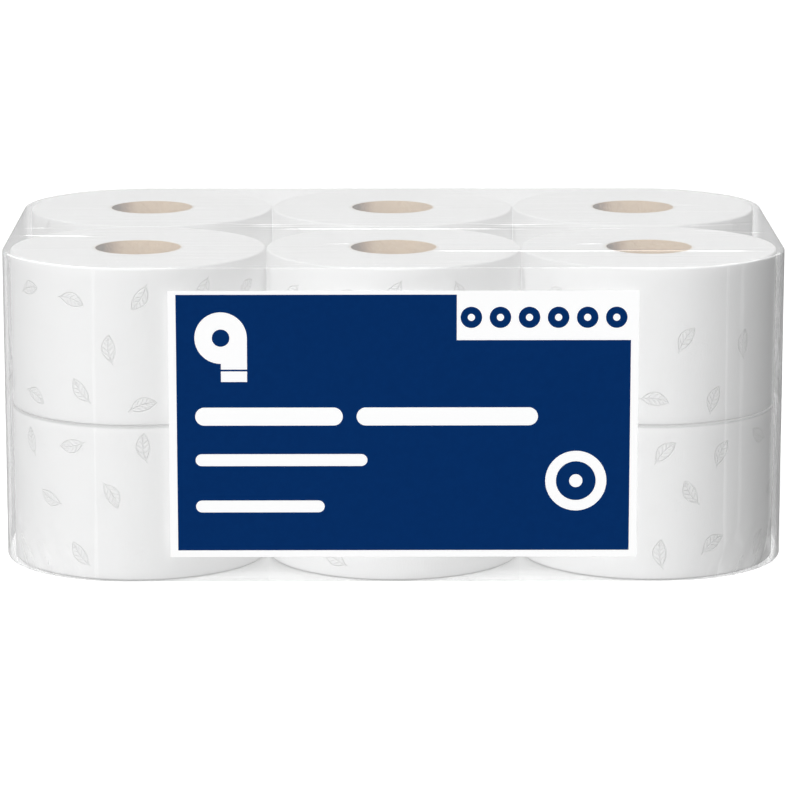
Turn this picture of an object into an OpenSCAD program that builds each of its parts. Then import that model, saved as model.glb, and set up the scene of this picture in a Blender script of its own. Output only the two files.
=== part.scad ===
// Pack of twelve jumbo toilet rolls: two layers of three by two rolls, standing on end
// inside a tight clear film wrap with a printed label on the front.
// +X runs along the pack, the label faces -Y, and Z is 0 where the film meets the floor.

/* [Rolls] */
// Outer diameter of a wound roll
roll_d = 170; // [150:1:195]
// Width of the tissue, which is the height of a standing roll
roll_h = 104; // [85:1:120]
// Radius of the soft edge round each end of a roll
roll_edge_r = 1.5; // [1:0.5:4]
// Distance from one groove between the wound turns to the next
turn_pitch = 6; // [4:0.5:12]
// Width of a groove between the wound turns
turn_groove_w = 1.2; // [0.6:0.2:2]
// Depth of a groove between the wound turns
turn_groove_depth = 0.3; // [0.1:0.1:0.8]

/* [Cores] */
// Inside diameter of the cardboard core
core_bore_d = 57; // [45:1:76]
// Wall of the cardboard core
core_wall = 1.2; // [0.8:0.1:2.5]

/* [Film] */
// Thickness of the film
film_t = 0.4; // [0.3:0.1:1]
// Height of the welded band across each end of the wrap
end_weld_h = 14; // [6:1:24]
// Width of that band
end_weld_w = 158; // [100:2:168]
// Width of the folded flaps where they reach the welded band
end_flap_w = 130; // [60:2:160]
// Height of the overlapping seam along the back
back_seam_h = 16; // [8:1:30]
// Height of the seam's lower edge above the floor
back_seam_z = 40; // [10:1:80]

/* [Label] */
// Width of the label
label_w = 305; // [240:1:320]
// Height of the label
label_h = 177; // [150:1:180]
// Height of the label's lower edge above the floor
label_z = 17; // [8:1:25]
// Distance from the middle of the pack to the middle of the label, to the right
label_shift = 6; // [-15:1:15]
// Thickness of the label's paper
label_t = 0.3; // [0.1:0.1:0.6]
// Thickness of the printed ink
ink_t = 0.1; // [0.1:0.1:0.3]

/* [Print] */
// White border at each side of the printed field
border_side = 5; // [2:0.5:10]
// White border above the printed field
border_top = 2.5; // [2:0.5:10]
// White border below the printed field
border_bottom = 4.5; // [2:0.5:10]
// Width of the white panel in the field's upper right corner
panel_w = 113; // [100:1:130]
// Height of the white panel
panel_h = 30; // [20:1:40]
// Diameter of each ring printed in the panel
panel_ring_d = 14; // [8:1:18]
// Diameter of the white disc in the lower right
disc_d = 40; // [30:1:50]
// Diameter of the ring printed in the disc
disc_ring_d = 26; // [16:1:30]
// Distance from the disc's centre to the label's right edge and to its lower edge
disc_place = [40, 51]; // [30:1:70]
// Diameter of the roll in the white drawing in the upper left
drawn_roll_d = 34; // [24:1:38]
// Distance from that drawing to the label's left edge and to its upper edge
drawn_roll_place = [17, 14]; // [10:1:30]
// Length of the sheet that hangs from the drawn roll, below its centre
drawn_sheet = 29; // [24:1:40]
// Distance from the tear line across that sheet to its lower end
drawn_tear = 7; // [3:0.5:8]
// Width of the tear line
drawn_line = 1.2; // [0.6:0.2:2]
// Distance from the label's left edge to the printed bars
bar_x = 17; // [10:1:30]
// Height of the heading bars
heading_h = 12; // [6:1:16]
// Height of the heading bars' lower edge above the label's
heading_z = 88; // [75:1:100]
// Lengths of the heading bars
heading_lengths = [96, 118]; // [20:1:120]
// Height of the lesser bars
line_h = 8; // [4:1:12]
// Heights of the lesser bars' lower edges above the label's
line_z = [61, 30]; // [15:1:70]
// Lengths of the lesser bars
line_lengths = [112, 84]; // [20:1:150]
// Gap between two bars on one line
bar_gap = 9; // [4:1:15]

/* [Clearances] */
// Gap between neighbouring rolls
roll_gap = 0.3; // [0.1:0.1:1]
// Gap between the rolls and the film round them and over them
film_gap = 0.3; // [0.1:0.1:1]
// Gap between a core and the tissue wound on it
core_gap = 0.1; // [0.05:0.05:0.3]
// Slack of the film at each end, past its gap to the rolls
end_slack = 4.5; // [0:0.5:8]

/* [Hidden] */
COLUMNS = ["left", "middle", "right"];
ROWS = ["front", "back"];
LEVELS = ["lower", "upper"];
PLACES = [
    for (level = [0 : len(LEVELS) - 1], row = [0 : len(ROWS) - 1], column = [0 : len(COLUMNS) - 1])
        [column, row, level]
];

$fn = 96;
// Straight steps in each rounded edge
EDGE_STEPS = 4;
// How far a cut runs past the face that it opens, and joined stretches of one piece into each other
OVERLAP = 1;

pitch = roll_d + roll_gap;
core_outer_r = core_bore_d / 2 + core_wall;
tissue_bore_r = core_outer_r + core_gap;
stack_h = len(LEVELS) * roll_h;

// Half the distance between the centres of the outermost rolls, along X and along Y
corner_x = pitch * (len(COLUMNS) - 1) / 2;
corner_y = pitch * (len(ROWS) - 1) / 2;

// Half the distance along X between the axes that the film's corners turn about
film_corner_x = corner_x + end_slack;

film_inner_r = roll_d / 2 + film_gap;
film_outer_r = film_inner_r + film_t;
film_inner_h = stack_h + film_gap;
wrap_h = film_inner_h + 2 * film_t;
film_edge_r = roll_edge_r + film_t;

// How far the flat film over and under the rolls reaches from the film's corner axes
film_flat_r = film_outer_r - 2 * film_edge_r;

field_w = label_w - 2 * border_side;
field_h = label_h - border_top - border_bottom;
rings_across = len(COLUMNS) * len(ROWS);
drawn_core_d = drawn_roll_d * core_bore_d / roll_d;

// Radii of the grooves between the wound turns
groove_from = tissue_bore_r + turn_pitch;
groove_to = roll_d / 2 - roll_edge_r - turn_groove_w;
GROOVES = [for (r = [groove_from : turn_pitch : groove_to]) r];

function node_name(piece, place) =
    str(piece, "_", LEVELS[place[2]], "_", ROWS[place[1]], "_", COLUMNS[place[0]]);

// Centre of the lower end of the roll in a place
function place_of(place) = [
    place[0] * pitch - corner_x,
    place[1] * pitch - corner_y,
    film_t + place[2] * roll_h
];

// Arc of radius r about a centre, from one angle to another
function arc_points(centre, r, from, to) = [
    for (i = [0 : EDGE_STEPS])
        let (a = from + (to - from) * i / EDGE_STEPS)
            centre + r * [cos(a), sin(a)]
];

// One end of a roll's half section, from the bore outwards; "inwards" is the way its grooves go, 1 or -1
function end_points(z, inwards) = [
    for (r = GROOVES, side = [-1, 0, 1])
        [r + side * turn_groove_w / 2, z + (side == 0 ? inwards * turn_groove_depth : 0)]
];

function reversed(points) = [for (i = [len(points) - 1 : -1 : 0]) points[i]];

// Where each bar on a line starts, after the bars before it
function bar_start(lengths, i) = i == 0 ? 0 : bar_start(lengths, i - 1) + lengths[i - 1] + bar_gap;

// Tissue wound on a core, standing on z = 0
module tissue_roll() {
    edge_x = roll_d / 2 - roll_edge_r;
    rotate_extrude()
        polygon(concat(
            [[tissue_bore_r, 0]],
            end_points(0, 1),
            arc_points([edge_x, roll_edge_r], roll_edge_r, -90, 0),
            arc_points([edge_x, roll_h - roll_edge_r], roll_edge_r, 0, 90),
            reversed(end_points(roll_h, -1)),
            [[tissue_bore_r, roll_h]]
        ));
}

// Cardboard tube in the middle of a roll
module core_tube() {
    difference() {
        cylinder(h = roll_h, r = core_outer_r);
        translate([0, 0, -OVERLAP])
            cylinder(h = roll_h + 2 * OVERLAP, d = core_bore_d);
    }
}

// Upright section of the wrap, from the axis of a corner outwards
module wrap_section(reach, height, edge_r) {
    polygon(concat(
        [[0, 0]],
        arc_points([reach - edge_r, edge_r], edge_r, -90, 0),
        arc_points([reach - edge_r, height - edge_r], edge_r, 0, 90),
        [[0, height]]
    ));
}

// Solid that fills the film's outline, "reach" out from the axes of its corners
module wrap_solid(reach, height, edge_r) {
    corners = [[1, 1], [-1, 1], [-1, -1], [1, -1]];
    translate([-film_corner_x - OVERLAP, -corner_y - OVERLAP, 0])
        cube([2 * (film_corner_x + OVERLAP), 2 * (corner_y + OVERLAP), height]);
    for (i = [0 : 3])
        translate([corners[i].x * film_corner_x, corners[i].y * corner_y, 0])
            rotate([0, 0, 90 * i]) {
                rotate_extrude(angle = 90)
                    wrap_section(reach, height, edge_r);
                rotate([90, 0, 0])
                    linear_extrude(i % 2 == 0 ? 2 * corner_y : 2 * film_corner_x)
                        wrap_section(reach, height, edge_r);
            }
}

// The film's outline, "reach" out from the axes of its corners
module wrap_outline(reach) {
    square([2 * (film_corner_x + reach), 2 * corner_y], center = true);
    square([2 * film_corner_x, 2 * (corner_y + reach)], center = true);
    for (x = [-film_corner_x, film_corner_x], y = [-corner_y, corner_y])
        translate([x, y])
            circle(r = reach);
}

// Folded flaps, narrowest where they meet, and the welded band over them on the right end of the wrap,
// rooted half way into the wrap's wall
module end_folds() {
    flat_w = 2 * corner_y;
    flap_bottom = film_edge_r;
    flap_top = wrap_h - film_edge_r;
    root = film_t / 2;
    translate([film_corner_x + film_outer_r - root, 0, 0])
        rotate([90, 0, 90]) {
            linear_extrude(root + film_t)
                polygon([
                    [-flat_w / 2, flap_bottom],
                    [flat_w / 2, flap_bottom],
                    [end_flap_w / 2, wrap_h / 2],
                    [flat_w / 2, flap_top],
                    [-flat_w / 2, flap_top],
                    [-end_flap_w / 2, wrap_h / 2]
                ]);
            linear_extrude(root + 2 * film_t)
                translate([-end_weld_w / 2, (wrap_h - end_weld_h) / 2])
                    square([end_weld_w, end_weld_h]);
        }
}

// Seam where the two edges of the film overlap along the back, rooted half way into the wrap's wall
module back_seam() {
    root = film_t / 2;
    translate([-corner_x, corner_y + film_outer_r - root, back_seam_z])
        cube([2 * corner_x, root + film_t, back_seam_h]);
}

// Film round the rolls, turned in over them and under them
module film_sleeve() {
    color("white", 0.25) {
        difference() {
            wrap_solid(film_outer_r, wrap_h, film_edge_r);
            translate([0, 0, film_t])
                wrap_solid(film_inner_r, film_inner_h, roll_edge_r);
            translate([0, 0, -OVERLAP])
                linear_extrude(wrap_h + 2 * OVERLAP)
                    wrap_outline(film_flat_r);
        }
        for (turn = [0, 180])
            rotate([0, 0, turn])
                end_folds();
        back_seam();
    }
}

// Flat film that closes the sleeve at height z
module flat_film(z) {
    color("white", 0.25)
        translate([0, 0, z])
            linear_extrude(film_t)
                wrap_outline(film_flat_r);
}

// Lays a flat drawing on the wrap's front, "lift" out from the film, from the label's lower left corner
module on_front(lift, thickness) {
    translate([label_shift - label_w / 2, -corner_y - film_outer_r - lift, label_z])
        rotate([90, 0, 0])
            linear_extrude(thickness)
                children();
}

module label_sheet() {
    color("white")
        on_front(0, label_t)
            square([label_w, label_h]);
}

// Flat ring that stands for a roll seen end on
module roll_ring(d) {
    difference() {
        circle(d = d);
        circle(d = d * core_bore_d / roll_d);
    }
}

// Row of flat bars with round ends in the place of a line of print
module bars(lengths, h, z) {
    for (i = [0 : len(lengths) - 1])
        translate([bar_x + bar_start(lengths, i), z]) {
            translate([h / 2, 0])
                square([lengths[i] - h, h]);
            for (x = [h / 2, lengths[i] - h / 2])
                translate([x, h / 2])
                    circle(d = h);
        }
}

// Drawing of a roll seen end on, with a sheet that hangs from its right half
module drawn_roll() {
    r = drawn_roll_d / 2;
    translate([drawn_roll_place[0] + r, label_h - drawn_roll_place[1] - r])
        difference() {
            union() {
                circle(r = r);
                translate([0, -drawn_sheet])
                    square([r, drawn_sheet]);
            }
            circle(d = drawn_core_d);
            translate([-OVERLAP, drawn_tear - drawn_sheet])
                square([r + 2 * OVERLAP, drawn_line]);
        }
}

// Everything in the printed field that stays white
module white_shapes() {
    translate([label_w - border_side - panel_w, label_h - border_top - panel_h])
        square([panel_w + OVERLAP, panel_h + OVERLAP]);
    translate([label_w - disc_place[0], disc_place[1]])
        circle(d = disc_d);
    drawn_roll();
    bars(heading_lengths, heading_h, heading_z);
    for (i = [0 : len(line_z) - 1])
        bars([line_lengths[i]], line_h, line_z[i]);
}

// Row of rings across the middle of the white panel, one for each stack of rolls
module panel_rings() {
    step = panel_w / rings_across;
    for (i = [0 : rings_across - 1])
        translate([
            label_w - border_side - panel_w + (i + 0.5) * step,
            label_h - border_top - panel_h / 2
        ])
            roll_ring(panel_ring_d);
}

module label_ink() {
    color([0.0, 0.18, 0.41])
        on_front(label_t, ink_t) {
            difference() {
                translate([border_side, border_bottom])
                    square([field_w, field_h]);
                white_shapes();
            }
            translate([label_w - disc_place[0], disc_place[1]])
                roll_ring(disc_ring_d);
            panel_rings();
        }
}

for (place = PLACES) {
    color([0.96, 0.96, 0.95])
            translate(place_of(place))
                tissue_roll();
    color([0.80, 0.72, 0.62])
            translate(place_of(place))
                core_tube();
}
film_sleeve();
flat_film(wrap_h - film_t);  // film_top
flat_film(0);  // film_base
label_sheet();
label_ink();
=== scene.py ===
# %% [markdown]
# # Twelve jumbo toilet rolls in a clear film wrap
#
# The real thing is a dispenser pack: twelve rolls of tissue stand on end in two layers of three
# by two, and one tight sheet of clear film is drawn round them, folded in at both ends and
# welded. A paper label sits on the front. This lesson dresses the CAD model of the pack: soft
# rolls in place of the plain solids, one thin film that shines, and printed paper on the front.
#
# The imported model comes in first, because every new piece takes its place from it.

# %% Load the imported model
import math

import bmesh
import bpy
from mathutils import Matrix, Vector, noise


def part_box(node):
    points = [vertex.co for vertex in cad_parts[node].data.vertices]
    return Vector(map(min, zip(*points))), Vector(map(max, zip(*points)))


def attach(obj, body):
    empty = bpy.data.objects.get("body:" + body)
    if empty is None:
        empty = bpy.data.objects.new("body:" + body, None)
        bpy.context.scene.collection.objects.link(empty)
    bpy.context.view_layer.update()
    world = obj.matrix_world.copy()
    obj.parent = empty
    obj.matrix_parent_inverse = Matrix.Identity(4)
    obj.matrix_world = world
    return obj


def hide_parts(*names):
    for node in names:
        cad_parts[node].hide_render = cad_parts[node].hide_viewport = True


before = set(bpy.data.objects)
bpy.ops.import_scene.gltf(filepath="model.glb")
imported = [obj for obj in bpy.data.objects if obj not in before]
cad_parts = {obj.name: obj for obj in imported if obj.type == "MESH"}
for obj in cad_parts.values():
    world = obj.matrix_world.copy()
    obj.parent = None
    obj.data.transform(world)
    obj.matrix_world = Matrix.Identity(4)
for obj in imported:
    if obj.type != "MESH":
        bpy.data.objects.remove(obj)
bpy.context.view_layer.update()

MM = 0.001

# %% [markdown]
# ## Camera
#
# The picture was taken from nearly three metres away with a long lens, a little above the pack,
# so the rolls' tops are thin ellipses and the verticals stay almost upright. A long lens keeps
# the back row almost as large as the front row. The values come from fitting a camera to the
# centres of the six cores and the edges of the label.

# %% Place the camera
CAMERA_PLACE = Vector((-12.22, -2702.9, 649.32)) * MM
CAMERA_DOWN = math.radians(11.767)
CAMERA_TURN = -0.0063
LENS_MM = 179.03

scene = bpy.context.scene
scene.view_settings.view_transform = "Standard"

camera = bpy.data.objects.new("camera", bpy.data.cameras.new("camera"))
camera.data.lens = LENS_MM
camera.data.sensor_width = 36
camera.data.clip_end = 100
camera.location = CAMERA_PLACE
camera.rotation_euler = (math.pi / 2 - CAMERA_DOWN, 0, CAMERA_TURN)
scene.collection.objects.link(camera)
scene.camera = camera
print("camera stands", round(-CAMERA_PLACE.y, 2), "m in front of the pack's middle")

# %% [markdown]
# ## The pack's measures
#
# The film hugs the rolls, so its outline is a rectangle whose corners have the rolls' own
# radius. The few measures that the new pieces share are named once here, in metres, and the
# places of the rolls are read from the CAD nodes. Places that are nearer to each other than
# `NEAR` count as one.

# %% Name the measures
ROLL_R = 85 * MM
ROLL_PITCH = 170.3 * MM
END_SLACK = 4.5 * MM
CORNER_X, CORNER_Y = ROLL_PITCH + END_SLACK, ROLL_PITCH / 2
FILM_R = 85.7 * MM
ROLL_EDGE_R = 1.5 * MM
LAYER_JOINT_Z = 104.4 * MM
FILM_BASE_Z, FILM_TOP_Z = 0.05 * MM, 208.72 * MM
NEAR = 0.01 * MM

FILM_NODES = [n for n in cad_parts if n.startswith("film_")]
tissue_nodes = sorted(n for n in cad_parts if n.startswith("tissue_"))
core_nodes = sorted(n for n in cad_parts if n.startswith("core_"))
print(len(tissue_nodes), "rolls and", len(core_nodes), "cores")

# %% [markdown]
# ## A helper for shader maths
#
# Materials are easier to read as sums than as wired boxes. `Wire` holds one output of a node,
# and arithmetic on it adds Math nodes behind the scenes. Every other kind of node comes from
# its `node` method: the kind, then the settings, then the values or wires of its sockets.

# %% Wrap a node's output
class Wire:
    """One output of a material's node. Arithmetic on it adds Math nodes."""

    def __init__(self, tree, socket=None):
        self.tree, self.socket = tree, socket

    def node(self, kind, settings=None, sockets=None, out=0):
        made = self.tree.nodes.new("ShaderNode" + kind)
        for name, value in (settings or {}).items():
            if name == "stops":
                stops = made.color_ramp.elements
                while len(stops) < len(value):
                    stops.new(1)
                for stop, (place, colour) in zip(stops, value):
                    stop.position, stop.color = place, (*colour, 1)
            else:
                setattr(made, name, value)
        for name, value in (sockets or {}).items():
            if isinstance(value, Wire):
                self.tree.links.new(value.socket, made.inputs[name])
            else:
                made.inputs[name].default_value = value
        return Wire(self.tree, made.outputs[out])

    def math(self, operation, *others):
        """A Math node on this wire and then on the others."""
        return self.node("Math", {"operation": operation}, dict(enumerate((self, *others))))

    def __add__(self, other):
        return self.math("ADD", other)

    def __radd__(self, other):
        return self.math("ADD", other)

    def __sub__(self, other):
        return self.math("SUBTRACT", other)

    def __rsub__(self, other):
        return self.node("Math", {"operation": "SUBTRACT"}, {0: other, 1: self})

    def __mul__(self, other):
        return self.math("MULTIPLY", other)

    def __rmul__(self, other):
        return self.math("MULTIPLY", other)

    def __truediv__(self, other):
        return self.math("DIVIDE", other)

    def __abs__(self):
        return self.math("ABSOLUTE")

    def soft_step(self, start, end):
        """0 before start, 1 after end and smooth between. It falls where end is below start."""
        low, high, first, last = (start, end, 0, 1) if start < end else (end, start, 1, 0)
        return self.node(
            "MapRange", {"interpolation_type": "SMOOTHSTEP"}, {0: self, 1: low, 2: high, 3: first, 4: last}
        )

    def part(self, index):
        """One of a vector's three numbers."""
        return self.node("SeparateXYZ", None, {0: self}, index)

    def colour_between(self, first, second):
        """Self is the share of the second colour."""
        return self.node("Mix", {"data_type": "RGBA"}, {0: self, 6: first, 7: second}, 2)


def new_material(name, **constants):
    """A material with a Principled BSDF whose constant values are set on its own sockets."""
    material = bpy.data.materials.new(name)
    material.use_nodes = True
    tree = material.node_tree
    shader = tree.nodes["Principled BSDF"]
    for socket, value in constants.items():
        shader.inputs[socket.replace("_", " ")].default_value = value
    return material, Wire(tree), shader


def feed(wire, shader, socket):
    """Links a wire to one of the shader's sockets."""
    wire.tree.links.new(wire.socket, shader.inputs[socket])


def bump_of(height_mm):
    """A bump whose height is given in millimetres."""
    return height_mm.node("Bump", None, {"Height": height_mm, "Distance": MM, "Strength": 1.0})


def place_in_pack(wire):
    """Where a point lies in the pack's own frame, in metres."""
    return wire.node("TexCoord", None, None, 3)


def facing_in_pack(wire):
    """Which way the surface faces in the pack's own frame."""
    return wire.node("TexCoord", None, None, 1)


def stretched(where, scale):
    """A place whose three directions are scaled apart, for patterns that run one way."""
    return where.node("Mapping", None, {"Vector": where, "Scale": scale})


def blotches(where, scale, detail, roughness=0.5):
    """Noise from 0 to 1. Its blotches shrink as the scale grows."""
    return where.node(
        "TexNoise", None, {"Vector": where, "Scale": scale, "Detail": detail, "Roughness": roughness}
    )


print("shader helper ready")

# %% [markdown]
# ## A helper for finished pieces
#
# A mesh becomes a piece once its doubles are merged, its normals point outwards and it rides on
# the pack's one body. The CAD nodes in whose place it sits are hidden.

# %% Turn a mesh into a piece
def finish_piece(name, work, material, nodes):
    """Makes an object of a bmesh at the origin, smooth shaded, riding on the pack."""
    bmesh.ops.remove_doubles(work, verts=work.verts, dist=NEAR)
    bmesh.ops.recalc_face_normals(work, faces=work.faces)
    for face in work.faces:
        face.smooth = True
    data = bpy.data.meshes.new(name)
    work.to_mesh(data)
    work.free()
    data.materials.append(material)
    piece = bpy.data.objects.new(name, data)
    scene.collection.objects.link(piece)
    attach(piece, "root")
    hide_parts(*nodes)
    return piece


print("piece helper ready")

# %% [markdown]
# ## Tissue as a material
#
# Toilet tissue is a matt, slightly translucent white with sparse embossed leaves. An emboss
# could be cut in the mesh, but lines of half a millimetre on twelve rolls would take millions
# of faces, so it is pressed in by the material. The leaves are drawn by distance: the side is
# split in cells, each cell gets its own shift, turn and chance, and the outline, midrib and
# veins are thin lines around simple curves, all measured in millimetres. Nothing here is an
# image.

# %% Draw one embossed leaf in cells
LEAF_CELLS_ROUND = 13
LEAF_CELL_W = math.tau * ROLL_R / LEAF_CELLS_ROUND / MM
LEAF_CELL_H = 34.7
LEAF_HALF_L, LEAF_HALF_W = 9.0, 4.3
LEAF_CHANCE = 0.62
LEAF_SHIFT_ALONG, LEAF_SHIFT_UP = 16, 12
LEAF_BOW = 0.016
STALK_L = 1.5
OUTLINE_W, MIDRIB_W = (0.55, 0.1), (0.5, 0.1)
VEIN_PITCH, VEIN_W, VEIN_DEPTH = 2.9, (0.16, 0.03), 0.8


def leaf_press(wire, along, up, roll_number):
    """How deep the leaf pattern is pressed in, 0 to 1, for places along and up a roll in millimetres."""
    row = (up / LEAF_CELL_H).math("FLOOR")
    shifted = along / LEAF_CELL_W + row * 0.5
    column = shifted.math("FLOOR")
    column_round = column.math("FLOORED_MODULO", LEAF_CELLS_ROUND)
    chosen = wire.node("CombineXYZ", None, {0: column_round, 1: row, 2: roll_number})
    draws = wire.node("TexWhiteNoise", {"noise_dimensions": "3D"}, {"Vector": chosen}, 1)
    chance = wire.node("TexWhiteNoise", {"noise_dimensions": "3D"}, {"Vector": chosen}, 0)
    x = (shifted - column - 0.5) * LEAF_CELL_W - (draws.part(0) - 0.5) * LEAF_SHIFT_ALONG
    y = (up / LEAF_CELL_H - row - 0.5) * LEAF_CELL_H - (draws.part(1) - 0.5) * LEAF_SHIFT_UP
    turn = draws.part(2) * math.tau
    cosine, sine = turn.math("COSINE"), turn.math("SINE")
    length_way = x * cosine + y * sine
    cross_way = y * cosine - x * sine
    bowed = cross_way - length_way * length_way * LEAF_BOW
    spread = abs(bowed)
    edge = LEAF_HALF_W * (1 - (length_way / LEAF_HALF_L) * (length_way / LEAF_HALF_L))
    inside = abs(length_way).soft_step(LEAF_HALF_L + 0.2, LEAF_HALF_L - 0.3)
    outline = abs(spread - edge).soft_step(*OUTLINE_W) * inside
    midrib = spread.soft_step(*MIDRIB_W) * abs(length_way + STALK_L).math("LESS_THAN", LEAF_HALF_L)
    vein_phase = (length_way * 0.9 - spread * 0.75) / VEIN_PITCH
    vein = abs(vein_phase.math("FRACT") - 0.5).soft_step(*VEIN_W)
    vein = vein * (edge - spread).soft_step(0.1, 0.6) * inside
    lines = outline.math("MAXIMUM", midrib.math("MAXIMUM", vein * VEIN_DEPTH))
    return lines * chance.math("LESS_THAN", LEAF_CHANCE)


print("leaves:", LEAF_CELLS_ROUND, "cells round a roll, each", round(LEAF_CELL_W, 1), "mm wide")

# %% [markdown]
# ## The whole tissue
#
# Up close tissue has fine creping, tiny ridges that run across the web and so stand upright on
# a roll, and soft clouds where the wound plies lie a little higher or lower. The ends show the
# edges of the wound turns as faint rings. Noise gives all three. A faint glow of painted light
# lifts the tissue and brightens the crevices between the rolls, standing in for light that
# enters the loose plies and comes out again beside them. The studio's side lights cast no
# shadows, so painted shade is part of the colour: under the joint of the two layers, at the
# foot, along each roll's upper rim, where it tones down a bright line, and faintly in the
# pressed leaf lines.

# %% Make the tissue material
CREPING_MM, CLOUDS_MM, TURNS_MM, LEAVES_MM = 0.10, 0.35, 0.25, 0.42
CLOUDS_TINT, BROAD_TINT, TURNS_TINT, LEAF_LINE_SHADE = 0.10, 0.08, 0.10, 0.03
CREPE_RUN = (1000, 1000, 160)
TISSUE_DIM, TISSUE_BRIGHT = (0.845, 0.845, 0.85, 1), (0.93, 0.93, 0.925, 1)
JOINT_SHADE, RIM_SHADE = (0.42, 0.42, 0.42, 1), (0.74, 0.74, 0.74, 1)
UPPER_RIM_SHADE_BAND, UPPER_RIM_SHADE_SHARE = (102.3, 103.5), 0.45
JOINT_EDGE, JOINT_FADE, JOINT_SHARE = (-0.3, 0.1), (2.6, 0.2), 0.85
FOOT_FADE, FOOT_SHARE = (2.6, 0.8), 0.5
TISSUE_PAINTED_GLOW = 0.06


def wound_edges(wire, up):
    """Bands along the second UV value, from 0 to 1, for the edges of the wound turns."""
    return wire.node(
        "TexNoise", {"noise_dimensions": "1D"}, {"W": up * 0.55, "Detail": 4.0, "Roughness": 0.7}
    )


def make_tissue():
    material, wire, shader = new_material(
        "soft_tissue", Roughness=0.92, Specular_IOR_Level=0.25, Sheen_Weight=0.15, Sheen_Roughness=0.6
    )
    place = place_in_pack(wire)
    unrolled = wire.node("UVMap", {"uv_map": "unrolled"})
    roll_number = wire.node("Attribute", {"attribute_name": "roll_number"}, None, 2)
    along, up = unrolled.part(0), unrolled.part(1)
    on_side = up.math("GREATER_THAN", 0)
    leaves = leaf_press(wire, along, up, roll_number) * on_side

    creping = blotches(stretched(place, CREPE_RUN), 1.3, 3.0, 0.6)
    clouds = blotches(place, 45.0, 3.0, 0.55)
    broad = blotches(place, 11.0, 2.0)
    turns = (wound_edges(wire, up) - 0.5) * (1 - on_side)
    height = creping * CREPING_MM + clouds * CLOUDS_MM + turns * TURNS_MM - leaves * LEAVES_MM
    feed(bump_of(height), shader, "Normal")

    shade = (clouds - 0.5) * CLOUDS_TINT + (broad - 0.5) * BROAD_TINT
    # The pressed leaf lines are a touch darker: painted shade in the grooves.
    shade = shade + turns * TURNS_TINT - leaves * LEAF_LINE_SHADE + 0.5
    colour = shade.colour_between(TISSUE_DIM, TISSUE_BRIGHT)
    # Painted shade darkens each roll's upper rim to tone down the bright line the light draws there.
    rim_painted_shade = up.soft_step(*UPPER_RIM_SHADE_BAND) * UPPER_RIM_SHADE_SHARE
    colour = rim_painted_shade.colour_between(colour, RIM_SHADE)
    rise = place.part(2) / MM
    under_joint = LAYER_JOINT_Z / MM - rise
    in_joint = under_joint.soft_step(*JOINT_EDGE) * under_joint.soft_step(*JOINT_FADE)
    at_foot = rise.soft_step(*FOOT_FADE) * FOOT_SHARE
    colour = ((in_joint + at_foot) * JOINT_SHARE).colour_between(colour, JOINT_SHADE)
    feed(colour, shader, "Base Color")
    # Painted light: a faint glow lifts the tissue and brightens its crevices.
    shader.inputs["Emission Color"].default_value = (1, 1, 1, 1)
    shader.inputs["Emission Strength"].default_value = TISSUE_PAINTED_GLOW
    return material


tissue = make_tissue()
print("tissue material:", len(tissue.node_tree.nodes), "nodes")

# %% [markdown]
# ## The rolls
#
# A roll is a long web of tissue wound on a tube, so it is a body of revolution: flat at both
# ends, with soft edges where the plies give way. Half a section is drawn as four points, its
# outer corners are rounded, its long edges subdivided, and a spin about the roll's axis makes
# the body. A wound roll is never perfect, so its surface then sinks by up to 0.4 mm in slow
# waves and in rings. The side is unrolled flat as a UV map, which is what the creped and
# embossed web was before it was wound.

# %% Wind one roll
END_CUTS, SIDE_CUTS, ROUND_STEPS = 33, 20, 120
TISSUE_BORE_R = 29.8 * MM
SIDE_SINK, RING_SINK, END_SINK = 0.14 * MM, 0.12 * MM, 0.06 * MM
RIM_FADE = 4 * MM


def half_section(work, centre, inner, outer, low_z, high_z):
    """A rectangle of four edges beside the axis, to be spun. Returns its corners."""
    places = ((inner, low_z), (outer, low_z), (outer, high_z), (inner, high_z))
    corners = [work.verts.new(centre + Vector((r, 0, z))) for r, z in places]
    for i in range(4):
        work.edges.new((corners[i], corners[(i + 1) % 4]))
    return corners


def round_corners(work, corners, offset, segments):
    bmesh.ops.bevel(
        work, geom=corners, offset=offset, segments=segments, profile=0.5, affect="VERTICES", material=-1
    )


def spin_round(work, centre, steps):
    bmesh.ops.spin(
        work, geom=work.verts[:] + work.edges[:], cent=centre, axis=(0, 0, 1),
        angle=math.tau, steps=steps, use_merge=True,
    )


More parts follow.
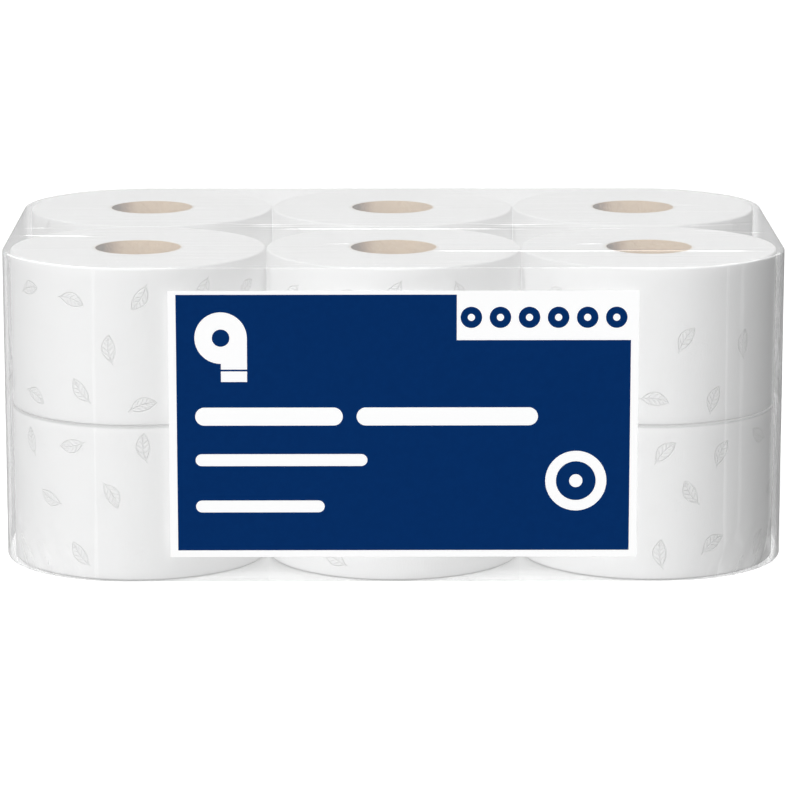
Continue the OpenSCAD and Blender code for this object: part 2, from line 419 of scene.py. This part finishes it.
def wound_roll(number, node):
    low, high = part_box(node)
    centre = Vector(((low.x + high.x) / 2, (low.y + high.y) / 2, 0))
    height = high.z - low.z
    work = bmesh.new()
    corners = half_section(work, centre, TISSUE_BORE_R, ROLL_R, low.z, high.z)
    round_corners(work, corners[1:3], ROLL_EDGE_R, 5)
    long_edges = [e for e in work.edges if e.calc_length() > 10 * MM]
    ends = [e for e in long_edges if abs(e.verts[0].co.z - e.verts[1].co.z) < MM]
    sides = [e for e in long_edges if e not in ends and e.verts[0].co.x > centre.x + ROLL_R - MM]
    bmesh.ops.subdivide_edges(work, edges=ends, cuts=END_CUTS)
    bmesh.ops.subdivide_edges(work, edges=sides, cuts=SIDE_CUTS)
    spin_round(work, centre, ROUND_STEPS)
    uneven = Vector((number * 3.1, number * 1.7, 0))
    for vert in work.verts:
        flat = Vector((vert.co.x, vert.co.y, 0)) - centre
        radius, outwards = flat.length, flat.normalized()
        if radius < TISSUE_BORE_R + 0.1 * MM:
            continue
        wave = noise.noise(outwards * 1.6 + uneven + Vector((0, 0, vert.co.z * 14)))
        if radius > ROLL_R - ROLL_EDGE_R - 0.2 * MM:
            vert.co -= outwards * SIDE_SINK * (1 + wave)
        ring = noise.noise(Vector((radius * 260, number * 5.3, vert.co.z * 3)))
        end_wave = noise.noise(outwards * 2.3 + uneven * 2)
        end_sink = RING_SINK * (1 + ring) + END_SINK * (1 + end_wave)
        share = max(0, min(1, (ROLL_R - radius) / RIM_FADE))
        if vert.co.z < low.z + NEAR:
            vert.co.z += end_sink * share
        elif vert.co.z > high.z - NEAR:
            vert.co.z -= end_sink * share
    unroll(work, centre, low.z, height)
    mark = work.verts.layers.float.new("roll_number")
    for vert in work.verts:
        vert[mark] = number + 0.5
    return finish_piece(node.replace("tissue", "wound_tissue"), work, tissue, [node])


def unroll(work, centre, floor_z, height):
    """UV in millimetres: round the side and up it. On an end the second is minus the radius."""
    layer = work.loops.layers.uv.new("unrolled")
    for face in work.faces:
        middle = face.calc_center_median() - centre
        middle_turn = math.atan2(middle.x, middle.y)
        is_end = middle.z < floor_z + 0.5 * MM or middle.z > floor_z + height - 0.5 * MM
        for loop in face.loops:
            flat = loop.vert.co - centre
            turn = math.atan2(flat.x, flat.y)
            turn += math.tau * round((middle_turn - turn) / math.tau)
            flat.z = 0
            up = -flat.length if is_end else loop.vert.co.z - floor_z + NEAR
            loop[layer].uv = (turn * ROLL_R / MM, up / MM)


rolls = [wound_roll(number, node) for number, node in enumerate(tissue_nodes)]
print("rolls:", len(rolls), "faces each:", len(rolls[0].data.polygons))

# %% [markdown]
# ## Cardboard for the cores
#
# The tube is wound from two strips of light brown board on a slant, so a seam climbs round it
# like a barber's pole, with faint fibres along the strips. A slanted coordinate makes the seam,
# and stretched noise makes the fibres. The wall that turns away from the light lies in the
# tube's own shade, which lights without shadows can't draw, so its colour is darker.

# %% Make the board material
CORE_BORE_R, CORE_OUTER_R = 28.5 * MM, 29.7 * MM
CORE_SEAM_PITCH = 62.0
FIBRES_MM, FLECKS_MM, SEAM_MM = 0.12, 0.05, 0.12
TURNED_AWAY, AWAY_SHADE = (0.35, 1.0), 0.5
BOARD_SHADES = [
    (0, (0.16, 0.12, 0.09)),
    (0.34, (0.60, 0.44, 0.29)),
    (0.52, (0.80, 0.63, 0.44)),
    (0.75, (0.88, 0.74, 0.55)),
    (1, (0.90, 0.86, 0.80)),
]


def make_board():
    material, wire, shader = new_material("core_board", Roughness=0.85, Specular_IOR_Level=0.3)
    unrolled = wire.node("UVMap", {"uv_map": "unrolled"})
    along, up = unrolled.part(0), unrolled.part(1)
    slant = (up + along * (CORE_SEAM_PITCH / (math.tau * CORE_BORE_R / MM))) / CORE_SEAM_PITCH
    seam = abs(slant.math("FRACT") - 0.5).soft_step(0.012, 0.002)
    strip = wire.node("CombineXYZ", None, {0: slant * 160, 1: along * 0.10})
    fibres = blotches(strip, 1.0, 4.0, 0.65)
    flecks = blotches(place_in_pack(wire), 700.0, 2.0)
    on_rim = up.math("LESS_THAN", 0)
    away = facing_in_pack(wire).part(0).soft_step(*TURNED_AWAY) * (1 - on_rim)
    shade = fibres * 0.75 + flecks * 0.25 - seam * 0.05 + on_rim - away * AWAY_SHADE
    feed(shade.node("ValToRGB", {"stops": BOARD_SHADES}, {0: shade}), shader, "Base Color")
    feed(bump_of(fibres * FIBRES_MM + flecks * FLECKS_MM - seam * SEAM_MM), shader, "Normal")
    return material


board = make_board()
print("board material:", len(board.node_tree.nodes), "nodes")

# %% [markdown]
# ## The cores
#
# Each core is a plain tube with a wall of 1.2 mm, cut square at its ends. Two cylinders cut
# from each other would do, but their rims would be sharp. A small rectangle with eased corners,
# spun round the roll's axis, gives the cut edge a thin line of light.

# %% Spin the tubes
CORE_EASE = 0.2 * MM
WALL_CUTS, CORE_STEPS = 7, 96


def core_tube(node):
    low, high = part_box(node)
    centre = Vector(((low.x + high.x) / 2, (low.y + high.y) / 2, 0))
    work = bmesh.new()
    corners = half_section(work, centre, CORE_BORE_R, CORE_OUTER_R, low.z, high.z)
    round_corners(work, corners, CORE_EASE, 2)
    walls = [e for e in work.edges if e.calc_length() > 10 * MM]
    bmesh.ops.subdivide_edges(work, edges=walls, cuts=WALL_CUTS)
    spin_round(work, centre, CORE_STEPS)
    unroll(work, centre, low.z, high.z - low.z)
    return finish_piece(node.replace("core", "board_core"), work, board, [node])


cores = [core_tube(node) for node in core_nodes]
print("cores:", len(cores), "faces each:", len(cores[0].data.polygons))

# %% [markdown]
# ## Clear film as a material
#
# The wrap is thin clear polythene. It bends no light to speak of, so a see-through shader
# under a thin shine is truer here than thick glass. The shine is a small share of the light
# face on and grows fast along a slanting look. A little milky haze lifts the film, as it does
# on real polythene. There is more haze along a slanting look, on the ends, and where the film
# is bunched or lies in several plies. Fine stretch marks run along the pack on top and upright
# on the sides, drawn by noise that is stretched each way.

# %% Make the film material
TOP_MARKS, TOP_MARKS_MM = (6, 170, 170), 0.16
SIDE_MARKS, SIDE_MARKS_MM = (150, 150, 5), 0.12
SHINE, SHINE_SLANTED, SHINE_GRAZING = 0.06, 0.10, 0.75
HAZE, HAZE_SLANTED, HAZE_ON_ENDS, HAZE_BUNCHED = 0.08, 0.50, 0.18, 0.50
HAZE_WHITE, SHINE_ROUGHNESS = (0.95, 0.95, 0.95, 1), 0.10
SEEN_FACE_ON, SEEN_EDGE_ON, EDGE_SHARE = (0.985, 0.987, 0.987, 1), (0.40, 0.405, 0.41, 1), 0.8


def make_film():
    material = bpy.data.materials.new("clear_film")
    material.use_nodes = True
    tree = material.node_tree
    tree.nodes.remove(tree.nodes["Principled BSDF"])
    wire = Wire(tree)
    place, facing = place_in_pack(wire), facing_in_pack(wire)
    on_top = abs(facing.part(2)).soft_step(0.5, 0.9)
    on_end = abs(facing.part(0)).soft_step(0.90, 0.99)
    drawn_top = blotches(stretched(place, TOP_MARKS), 1.0, 2.0)
    drawn_side = blotches(stretched(place, SIDE_MARKS), 1.0, 2.0)
    marks = drawn_top * TOP_MARKS_MM * on_top + drawn_side * SIDE_MARKS_MM * (1 - on_top)
    normal = bump_of(marks)

    look = wire.node("LayerWeight", None, {"Blend": 0.5, "Normal": normal}, 1)
    slanted = look.math("POWER", 5.0)
    grazing = slanted * slanted
    bunched = wire.node("Attribute", {"attribute_name": "bunched"}, None, 2)
    shining = slanted * SHINE_SLANTED + grazing * SHINE_GRAZING + SHINE
    cloudy = slanted * HAZE_SLANTED + on_end * HAZE_ON_ENDS + bunched * HAZE_BUNCHED + HAZE

    face_on = wire.node("BsdfTransparent", None, {"Color": SEEN_FACE_ON})
    edge_on = wire.node("BsdfTransparent", None, {"Color": SEEN_EDGE_ON})
    clear = wire.node("MixShader", None, {0: grazing * (1 - on_top) * EDGE_SHARE, 1: face_on, 2: edge_on})
    haze = wire.node("BsdfDiffuse", None, {"Color": HAZE_WHITE})
    shine = wire.node("BsdfGlossy", None, {"Roughness": SHINE_ROUGHNESS, "Normal": normal})
    milky = wire.node("MixShader", None, {0: cloudy, 1: clear, 2: haze})
    whole = wire.node("MixShader", None, {0: shining, 1: milky, 2: shine})
    tree.links.new(whole.socket, tree.nodes["Material Output"].inputs["Surface"])
    return material


film = make_film()
print("film material:", len(film.node_tree.nodes), "nodes")

# %% [markdown]
# ## The film's shape
#
# Drawn tight, the film follows the rounded corners of the outer rolls, lies flat over their
# tops and bridges the gaps between them. A circle whose quarters are moved out to the four
# corner rolls gives that outline at once. Closing it, extruding it upwards and bevelling the
# rims makes a closed skin.

# %% Draw and close the skin
QUARTER_STEPS = 48
FILM_RIM = 1.9 * MM


def film_outline(work):
    """A ring of edges: a circle with its quarters moved out to the corner rolls' axes."""
    made = bmesh.ops.create_circle(
        work, cap_ends=False, radius=FILM_R, segments=4 * QUARTER_STEPS,
        matrix=Matrix.Rotation(math.tau / (8 * QUARTER_STEPS), 4, "Z"),
    )
    for side_x in (-1, 1):
        for side_y in (-1, 1):
            quarter = [v for v in made["verts"] if v.co.x * side_x > 0 and v.co.y * side_y > 0]
            bmesh.ops.translate(work, verts=quarter, vec=(side_x * CORNER_X, side_y * CORNER_Y, 0))
    return made["verts"]


def closed_skin():
    work = bmesh.new()
    ring = film_outline(work)
    bmesh.ops.translate(work, verts=ring, vec=(0, 0, FILM_BASE_Z))
    floor_face = bmesh.ops.contextual_create(work, geom=work.edges[:])["faces"]
    lifted = bmesh.ops.extrude_face_region(work, geom=floor_face)
    top = [v for v in lifted["geom"] if isinstance(v, bmesh.types.BMVert)]
    bmesh.ops.translate(work, verts=top, vec=(0, 0, FILM_TOP_Z - FILM_BASE_Z))
    bmesh.ops.recalc_face_normals(work, faces=work.faces)
    rims = [e for e in work.edges if abs(e.verts[0].co.z - e.verts[1].co.z) < NEAR]
    bmesh.ops.bevel(
        work, geom=rims, offset=FILM_RIM, segments=4, profile=0.5, affect="EDGES", material=-1
    )
    return work


print("film outline:", 4 * QUARTER_STEPS, "points")

# %% [markdown]
# ## Ridges and gathers
#
# What tells the eye that there is film at all is how it catches the light. Pulled lengthways,
# it rises in a few long ridges on top, and where it dives between two rolls it gathers in
# short fans. A cloth simulation would crumple it by chance. Here each ridge and gather is a
# small move of the film, worked out for a place on top, so that it lies where it should. All
# its measures are in millimetres.

# %% Work out the moves on top
TOP_RIDGES = (  # start, end and half width of each ridge, in millimetres, and its height
    ((-253, -8.5), (-239, -6.5), 1.7, 0.34),
    ((-256, -37.8), (-206, -42.4), 1.7, 0.36),
    ((-86, -11.6), (101, -12.8), 1.8, 0.34),
    ((-45, -74), (-27, -74), 1.6, 0.26),
    ((29, -102.5), (241, -104), 1.8, 0.36),
    ((126, -75), (142, -75.2), 1.6, 0.26),
    ((123, -13), (160, -9), 1.7, 0.26),
    ((207, -1), (253, 12), 1.9, 0.32),
    ((210, -18), (251, -30.6), 1.9, 0.32),
    ((-143, 80.7), (-131, 80.6), 1.6, 0.20),
    ((24, 84), (39, 84), 1.6, 0.20),
    ((197, 92), (217, 92), 1.6, 0.20),
)
GAP_X, OUTER_GAP_Y = ROLL_PITCH / 2 / MM, 165.0
GATHERS = [(x, y) for x in (-GAP_X, GAP_X) for y in (-OUTER_GAP_Y, 0.0, OUTER_GAP_Y)]
GATHER_REACH, GATHER_W, GATHER_DIP, FOLD_DIP = 34, 16, 0.20, 0.28
OUTER_SHARE = 0.35


def bell(distance, width):
    return math.exp(-((distance / width) ** 2))


def ridge_height(x, y):
    """Height of the long ridges at a place on top, in millimetres."""
    best = 0.0
    for (x0, y0), (x1, y1), width, height in TOP_RIDGES:
        length = math.hypot(x1 - x0, y1 - y0)
        t = ((x - x0) * (x1 - x0) + (y - y0) * (y1 - y0)) / length**2
        if -0.05 < t < 1.05:
            off = ((y - y0) * (x1 - x0) - (x - x0) * (y1 - y0)) / length
            fade = min(1, (t + 0.05) / 0.12) * min(1, (1.05 - t) / 0.12)
            best = max(best, height * fade * bell(off, width))
    return best


def gather_depth(x, y):
    """How far the film dips in fans of short folds around the gaps, in millimetres."""
    depth = 0.0
    for gap_x, gap_y in GATHERS:
        dx, dy = x - gap_x, y - gap_y
        away = math.hypot(dx * 0.55, dy)
        if away < GATHER_REACH:
            fold_w = 3.2 + 0.10 * abs(dx)
            fan = 0.5 + 0.5 * math.cos(dy / fold_w * math.pi + gap_x)
            share = OUTER_SHARE if gap_y else 1
            depth = max(depth, bell(away, GATHER_W) * (GATHER_DIP + FOLD_DIP * fan) * share)
    return depth


print("top of the film:", len(TOP_RIDGES), "ridges and", len(GATHERS), "gathers")

# %% [markdown]
# ## Folds, weld, seam and pleats
#
# The tube of film is closed at both ends by flaps that fold over each other and are welded in
# a band across the middle, with creases that fan out from it. Along the back its two edges
# overlap in a low seam. At the two lower front corners it is bunched in curved pleats. None of
# this is more than a millimetre high or deep, so it is a move of the film too, with a short
# slope at each edge. The flaps are widest at their roots and narrowest at the weld. Where
# plies lie on each other the film is also milkier.

# %% Work out the moves on the sides
MIDDLE_Z, END_HALF_H = 104.55, 102.6
FLAP_WIDE, FLAP_NARROW, FLAP_OUT, FLAP_MILKY = 85.15, 65.0, 0.35, 0.16
WELD_HALF_H, WELD_HALF_W, WELD_OUT, WELD_MILKY = 7.0, 79.0, 0.30, 0.36
CREASE_IN, CREASE_FADE, CREASES = 0.9, 26, 24
FAN_Y, FAN_BACK = 96, 14
SEAM_LOW, SEAM_HIGH, SEAM_HALF_L, SEAM_OUT = 40.0, 56.0, 170.3, 0.38
PLY_SLOPE = 0.7
PLEAT_X, PLEAT_Y, PLEAT_TOP_Z = 140, -60, 60
PLEAT_BEND, PLEAT_BEND_Z = 0.42, 34
PLEAT_FADE, PLEAT_FULL_Z = 16, 12
PLEATS = (  # where it is round the corner and its width, in degrees, and its height in millimetres
    (80, 3.4, 0.5), (62, 3.4, 0.7), (49, 3.0, 0.4), (36, 3.2, 0.25),
)
LABEL_X, LABEL_HALF_W, LABEL_Y = 6, 160, -165
JOINT_DIP, JOINT_W = 0.08, 2.5


def ramp(distance, length=PLY_SLOPE):
    """0 outside an edge, 1 inside it, with a short slope between."""
    return max(0.0, min(1.0, distance / length))


def in_flap(y, off_middle):
    """How far inside the edge of the folded flaps a place lies, in millimetres."""
    return FLAP_NARROW + (FLAP_WIDE - FLAP_NARROW) * off_middle / END_HALF_H - abs(y)


def on_weld(y, off_middle):
    return ramp(WELD_HALF_H - off_middle) * ramp(WELD_HALF_W - abs(y))


def end_folds(y, z, side):
    """How far the folded flaps and the welded band stand out from the end of the film."""
    off_middle = abs(z - MIDDLE_Z)
    off_weld = off_middle - WELD_HALF_H
    flap = ramp(in_flap(y, off_middle)) * ramp(END_HALF_H - off_middle, 3)
    fan = math.atan2(off_middle + FAN_BACK, abs(y) - FAN_Y * ramp(abs(y), 60))
    gathered = math.sin(fan * CREASES + side * 1.3 + (0.9 if y > 0 else 0)) * 0.5 + 0.5
    near_weld = math.exp(-max(0, off_weld) / CREASE_FADE) * ramp(off_weld, 8)
    outwards = 0.35 + 0.65 * min(1, abs(y) / 70)
    return FLAP_OUT * flap + WELD_OUT * on_weld(y, off_middle) - CREASE_IN * gathered * near_weld * outwards


def back_seam(x, z):
    return SEAM_OUT * ramp(min(z - SEAM_LOW, SEAM_HIGH - z)) * ramp(SEAM_HALF_L - abs(x))


def bottom_pleats(x, y, z):
    """How far the bunched film stands out in pleats at the lower front corners, in millimetres."""
    if abs(x) < PLEAT_X or y > PLEAT_Y:
        return 0.0
    around = math.degrees(math.atan2(abs(x) - CORNER_X / MM, -(y + CORNER_Y / MM)))
    bent = around + (PLEAT_BEND_Z - min(z, PLEAT_BEND_Z)) * PLEAT_BEND
    fade = math.exp(-max(0, z - PLEAT_FULL_Z) / PLEAT_FADE)
    return max(height * bell(bent - centre, width) * fade for centre, width, height in PLEATS)


def extra_plies(x, y, z, normal):
    """How milky the film is where it lies two or three plies thick: 0 where it is single."""
    if abs(normal.x) > 0.99:
        off_middle = abs(z - MIDDLE_Z)
        return FLAP_MILKY * ramp(in_flap(y, off_middle), 1.5) + WELD_MILKY * on_weld(y, off_middle)
    if normal.y > 0.99:
        return back_seam(x, z)
    return 0.0


def move_film(x, y, z, normal):
    """How far a vertex of the skin moves along its normal, in millimetres."""
    top_share, side_share = max(0.0, normal.z), 1 - abs(normal.z)
    move = top_share * (ridge_height(x, y) - gather_depth(x, y))
    under_label = abs(x - LABEL_X) < LABEL_HALF_W and y < LABEL_Y
    if not under_label:
        move -= side_share * JOINT_DIP * bell(z - LAYER_JOINT_Z / MM, JOINT_W)
    if abs(normal.x) > 0.99:
        move += end_folds(y, z, 1 if x > 0 else -1)
    if normal.y > 0.99:
        move += back_seam(x, z)
    if z < PLEAT_TOP_Z:
        move += side_share * bottom_pleats(x, y, z)
    return move


print("flaps:", FLAP_OUT, "weld:", WELD_OUT, "seam:", SEAM_OUT, "mm proud of the film")

# %% [markdown]
# ## The finished skin
#
# The closed skin has vertices only where it was drawn, so it is first cut by parallel planes:
# level cuts on the sides, closer together near the floor where the pleats are, upright cuts
# across the pack, and fine cuts along it on top and on the ends. Cutting adds vertices only
# where they are needed, where subdividing the whole skin would add them everywhere. Then every
# vertex takes its move, and keeps how bunched the film is there for the material to read.

# %% Cut the skin and shape it
def slice_by(work, faces, normal, places):
    """Cuts the faces by parallel planes, places in millimetres, so that they have vertices there."""
    edges = {e for f in faces for e in f.edges}
    verts = {v for f in faces for v in f.verts}
    geometry = [*faces, *edges, *verts]
    for place in places:
        cut = bmesh.ops.bisect_plane(
            work, geom=geometry, dist=1e-7, plane_co=Vector(normal) * place * MM, plane_no=normal
        )
        geometry = cut["geom"]


def shape_film(work):
    work.normal_update()
    moves = []
    bunched = work.verts.layers.float.new("bunched")
    for vert in work.verts:
        x, y, z = vert.co / MM
        vert[bunched] = min(1, bottom_pleats(x, y, z) + extra_plies(x, y, z, vert.normal))
        moves.append(vert.normal * move_film(x, y, z, vert.normal) * MM)
    for vert, move in zip(work.verts, moves):
        vert.co += move


skin = closed_skin()
skin.normal_update()
joint_levels = [LAYER_JOINT_Z / MM + d for d in (-3, -1.5, 0, 1.5, 3)]
side_faces = [f for f in skin.faces if abs(f.normal.z) < 0.1]
slice_by(skin, side_faces, (0, 0, 1), [*range(6, 38, 2), *range(38, 206, 4), *joint_levels])
seam_levels = (SEAM_LOW, SEAM_LOW + PLY_SLOPE, SEAM_HIGH - PLY_SLOPE, SEAM_HIGH)
slice_by(skin, [f for f in skin.faces if f.normal.y > 0.99], (0, 0, 1), seam_levels)
slice_by(skin, skin.faces[:], (1, 0, 0), range(-248, 249, 8))
print("film skin:", len(skin.faces), "faces after the level and upright cuts")

weld_offsets = (-WELD_HALF_H, PLY_SLOPE - WELD_HALF_H, WELD_HALF_H - PLY_SLOPE, WELD_HALF_H)
weld_levels = [MIDDLE_Z + offset for offset in weld_offsets]
crease_levels = [z for z in range(64, 146, 4) if abs(z - MIDDLE_Z) > WELD_HALF_H]
for side in (-1, 1):
    end_faces = [f for f in skin.faces if f.normal.x * side > 0.99]
    slice_by(skin, end_faces, (0, 1, 0), range(-84, 85, 3))
    end_faces = [f for f in skin.faces if f.normal.x * side > 0.99]
    slice_by(skin, end_faces, (0, 0, 1), weld_levels + crease_levels)
top_faces = [f for f in skin.faces if f.normal.z > 0.9]
slice_by(skin, top_faces, (0, 1, 0), [y * 1.5 for y in range(-112, 113)])
shape_film(skin)
film_skin = finish_piece("film_skin", skin, film, FILM_NODES)
print("film skin:", len(film_skin.data.polygons), "faces when shaped")

# %% [markdown]
# ## The label's paper and ink
#
# The label is coated white paper with one flat dark blue printed over most of it. The CAD
# solids are already exact, so they stay and get finishes: a faint grain and slow waves for
# the paper, and for the ink a breath of mottle, the same waves and hardly any shine. The
# paper's front glows faintly with painted light that brightens it, standing in for the
# whitener that printing paper holds.

# %% Make the label's finishes
PAPER_DIM, PAPER_BRIGHT = (0.93, 0.93, 0.93, 1), (0.97, 0.97, 0.97, 1)
INK_DARK, INK_LIGHT = (0.0, 0.024, 0.122, 1), (0.001, 0.032, 0.154, 1)
PAPER_FRONT_PAINTED_GLOW, NO_GLOW, PAPER_PAINTED_GLOW_STRENGTH = (0.97, 0.985, 1, 1), (0, 0, 0, 1), 0.15
WAVES_MM, GRAIN_MM, MOTTLE_MM = 0.4, 0.02, 0.015


def make_paper():
    material, wire, shader = new_material("label_paper", Roughness=0.45, Specular_IOR_Level=0.4)
    place = place_in_pack(wire)
    grain = blotches(place, 900.0, 3.0)
    waves = blotches(place, 14.0, 1.0)
    feed(grain.colour_between(PAPER_DIM, PAPER_BRIGHT), shader, "Base Color")
    feed(bump_of(grain * GRAIN_MM + waves * WAVES_MM), shader, "Normal")
    # Painted light: only the paper's front glows, so the label turns brighter without lighting the rolls
    # behind it.
    at_front = (0 - facing_in_pack(wire).part(1)).soft_step(0.5, 0.9)
    feed(at_front.colour_between(NO_GLOW, PAPER_FRONT_PAINTED_GLOW), shader, "Emission Color")
    shader.inputs["Emission Strength"].default_value = PAPER_PAINTED_GLOW_STRENGTH
    return material


def make_ink():
    material, wire, shader = new_material("label_ink", Specular_IOR_Level=0.04)
    place = place_in_pack(wire)
    mottle = blotches(place, 260.0, 4.0, 0.6)
    waves = blotches(place, 14.0, 1.0)
    feed(mottle.colour_between(INK_DARK, INK_LIGHT), shader, "Base Color")
    feed(mottle * 0.1 + 0.42, shader, "Roughness")
    feed(bump_of(mottle * MOTTLE_MM + waves * WAVES_MM), shader, "Normal")
    return material


for node, material in (("label_sheet", make_paper()), ("label_ink", make_ink())):
    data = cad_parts[node].data
    data.materials.clear()
    data.materials.append(material)
print("label finished")

# %% [markdown]
# ## Floor
#
# The pack stands on a plain white sweep that runs far back. The side lights cast no shadows, so
# the floor is shaded by its colour where the pack stands on it, and it glows a little to stay
# white. It sends no light back to the rolls, whose lower halves would turn too bright.

# %% Lay the floor
FLOOR_REACH = 16.0
FLOOR_DIM, FLOOR_BRIGHT = (0.92, 0.92, 0.92, 1), (0.93, 0.93, 0.93, 1)
UNDER_PACK, UNDER_X, UNDER_Y = (0.45, 0.45, 0.45, 1), (0.22, 0.15), (0.171, 0.125)
FLOOR_GLOW = 0.14


def make_floor():
    material, wire, shader = new_material("white_sweep", Roughness=0.8, Specular_IOR_Level=0.2)
    place = place_in_pack(wire)
    white = blotches(place, 3.0, 2.0).colour_between(FLOOR_DIM, FLOOR_BRIGHT)
    under = abs(place.part(0)).soft_step(*UNDER_X) * abs(place.part(1)).soft_step(*UNDER_Y)
    feed(under.colour_between(white, UNDER_PACK), shader, "Base Color")
    shader.inputs["Emission Color"].default_value = (1, 1, 1, 1)
    shader.inputs["Emission Strength"].default_value = FLOOR_GLOW
    return material


work = bmesh.new()
bmesh.ops.create_grid(work, x_segments=8, y_segments=8, size=FLOOR_REACH)
floor_data = bpy.data.meshes.new("floor")
work.to_mesh(floor_data)
work.free()
floor_data.materials.append(make_floor())
floor = bpy.data.objects.new("floor", floor_data)
floor.visible_glossy = False
floor.visible_diffuse = False
scene.collection.objects.link(floor)
print("floor", 2 * FLOOR_REACH, "m across")

# %% [markdown]
# ## Light
#
# The picture has soft light from the front left, so the right-hand sides of the rolls fall to
# grey. The surroundings give the even part of it. Two side lights without shadows shade each
# roll as if it stood alone, and a weak one comes from behind. With shadows, the rolls in front
# would darken the ones behind them far more than the picture shows. Cards of light add only
# shine, most of it on the film: one above the pack and one behind it light up the ridges, and
# narrow strips around the pack draw the upright streaks.

# %% Light the studio
SIDE_LIGHTS = ((-37, 65, 2.05), (5, 15, 0.65), (180, 4, 0.25))  # azimuth and elevation, then strength
STRIPS = (  # azimuth, then width in metres and radiance
    (-147, 0.30, 1.2), (-31, 0.08, 1.6), (62, 0.09, 2.4), (79, 0.10, 1.2), (128, 0.16, 2.2),
)
STRIP_DISTANCE, STRIP_LENGTH = 2.0, 3.0
BOX_TARGET = (0, 0, 0.2)
WORLD_EVEN, WORLD_FRONT, WORLD_BEHIND, WORLD_LEFT = 0.34, 0.27, 0.4, 0.10
DIM_RIGHT, DIM_SHARE = (0.2, 0.9), 0.72


def studio_world():
    """Brightest in front, less bright behind and above, and nearly dark to the right."""
    world = bpy.data.worlds.new("studio")
    world.use_nodes = True
    scene.world = world
    tree = world.node_tree
    way = Wire(tree).node("TexCoord", None, None, 0)
    across, depth = way.part(0), way.part(1)
    behind = depth.math("MAXIMUM", 0)
    strength = WORLD_EVEN - depth * WORLD_FRONT + behind * WORLD_BEHIND - across * WORLD_LEFT
    strength = strength * (1 - across.soft_step(*DIM_RIGHT) * DIM_SHARE)
    tree.links.new(strength.socket, tree.nodes["Background"].inputs["Strength"])
    tree.nodes["Background"].inputs["Color"].default_value = (1, 1, 1, 1)


def soft_light(name, place, target, width, height, radiance):
    """A card of light that only shows as shine. Its brightness is given as radiance."""
    data = bpy.data.lights.new(name, "AREA")
    data.shape = "RECTANGLE"
    data.size, data.size_y = width, height
    data.energy = radiance * math.pi * width * height
    light = bpy.data.objects.new(name, data)
    light.location = place
    light.rotation_euler = (Vector(target) - Vector(place)).to_track_quat("-Z", "Y").to_euler()
    light.visible_camera = False
    light.visible_diffuse = False
    scene.collection.objects.link(light)


def side_light(azimuth, elevation, strength):
    """Light from one side that casts no shadows and adds no shine."""
    data = bpy.data.lights.new("side_light", "SUN")
    data.energy = strength
    data.angle = math.radians(30)
    data.use_shadow = False
    light = bpy.data.objects.new("side_light", data)
    turn, rise = math.radians(azimuth), math.radians(elevation)
    way = Vector((-math.sin(turn) * math.cos(rise), math.cos(turn) * math.cos(rise), -math.sin(rise)))
    light.rotation_euler = way.to_track_quat("-Z", "Y").to_euler()
    light.visible_glossy = False
    light.visible_camera = False
    scene.collection.objects.link(light)


studio_world()
for azimuth, elevation, strength in SIDE_LIGHTS:
    side_light(azimuth, elevation, strength)
soft_light("above_box", (0, 0.3, 3.0), BOX_TARGET, 4.0, 0.8, 0.8)
soft_light("back_box", (0, 3.0, 1.75), BOX_TARGET, 5.0, 1.3, 4.0)
for azimuth, width, radiance in STRIPS:
    turn = math.radians(azimuth)
    corner = Vector((math.copysign(CORNER_X, azimuth), -CORNER_Y, 0))
    way = Vector((math.sin(turn), -math.cos(turn), 0))
    place = corner + way * STRIP_DISTANCE
    soft_light(f"strip_{azimuth}", place, corner, width, STRIP_LENGTH, radiance)
print("lights:", len(bpy.data.lights))
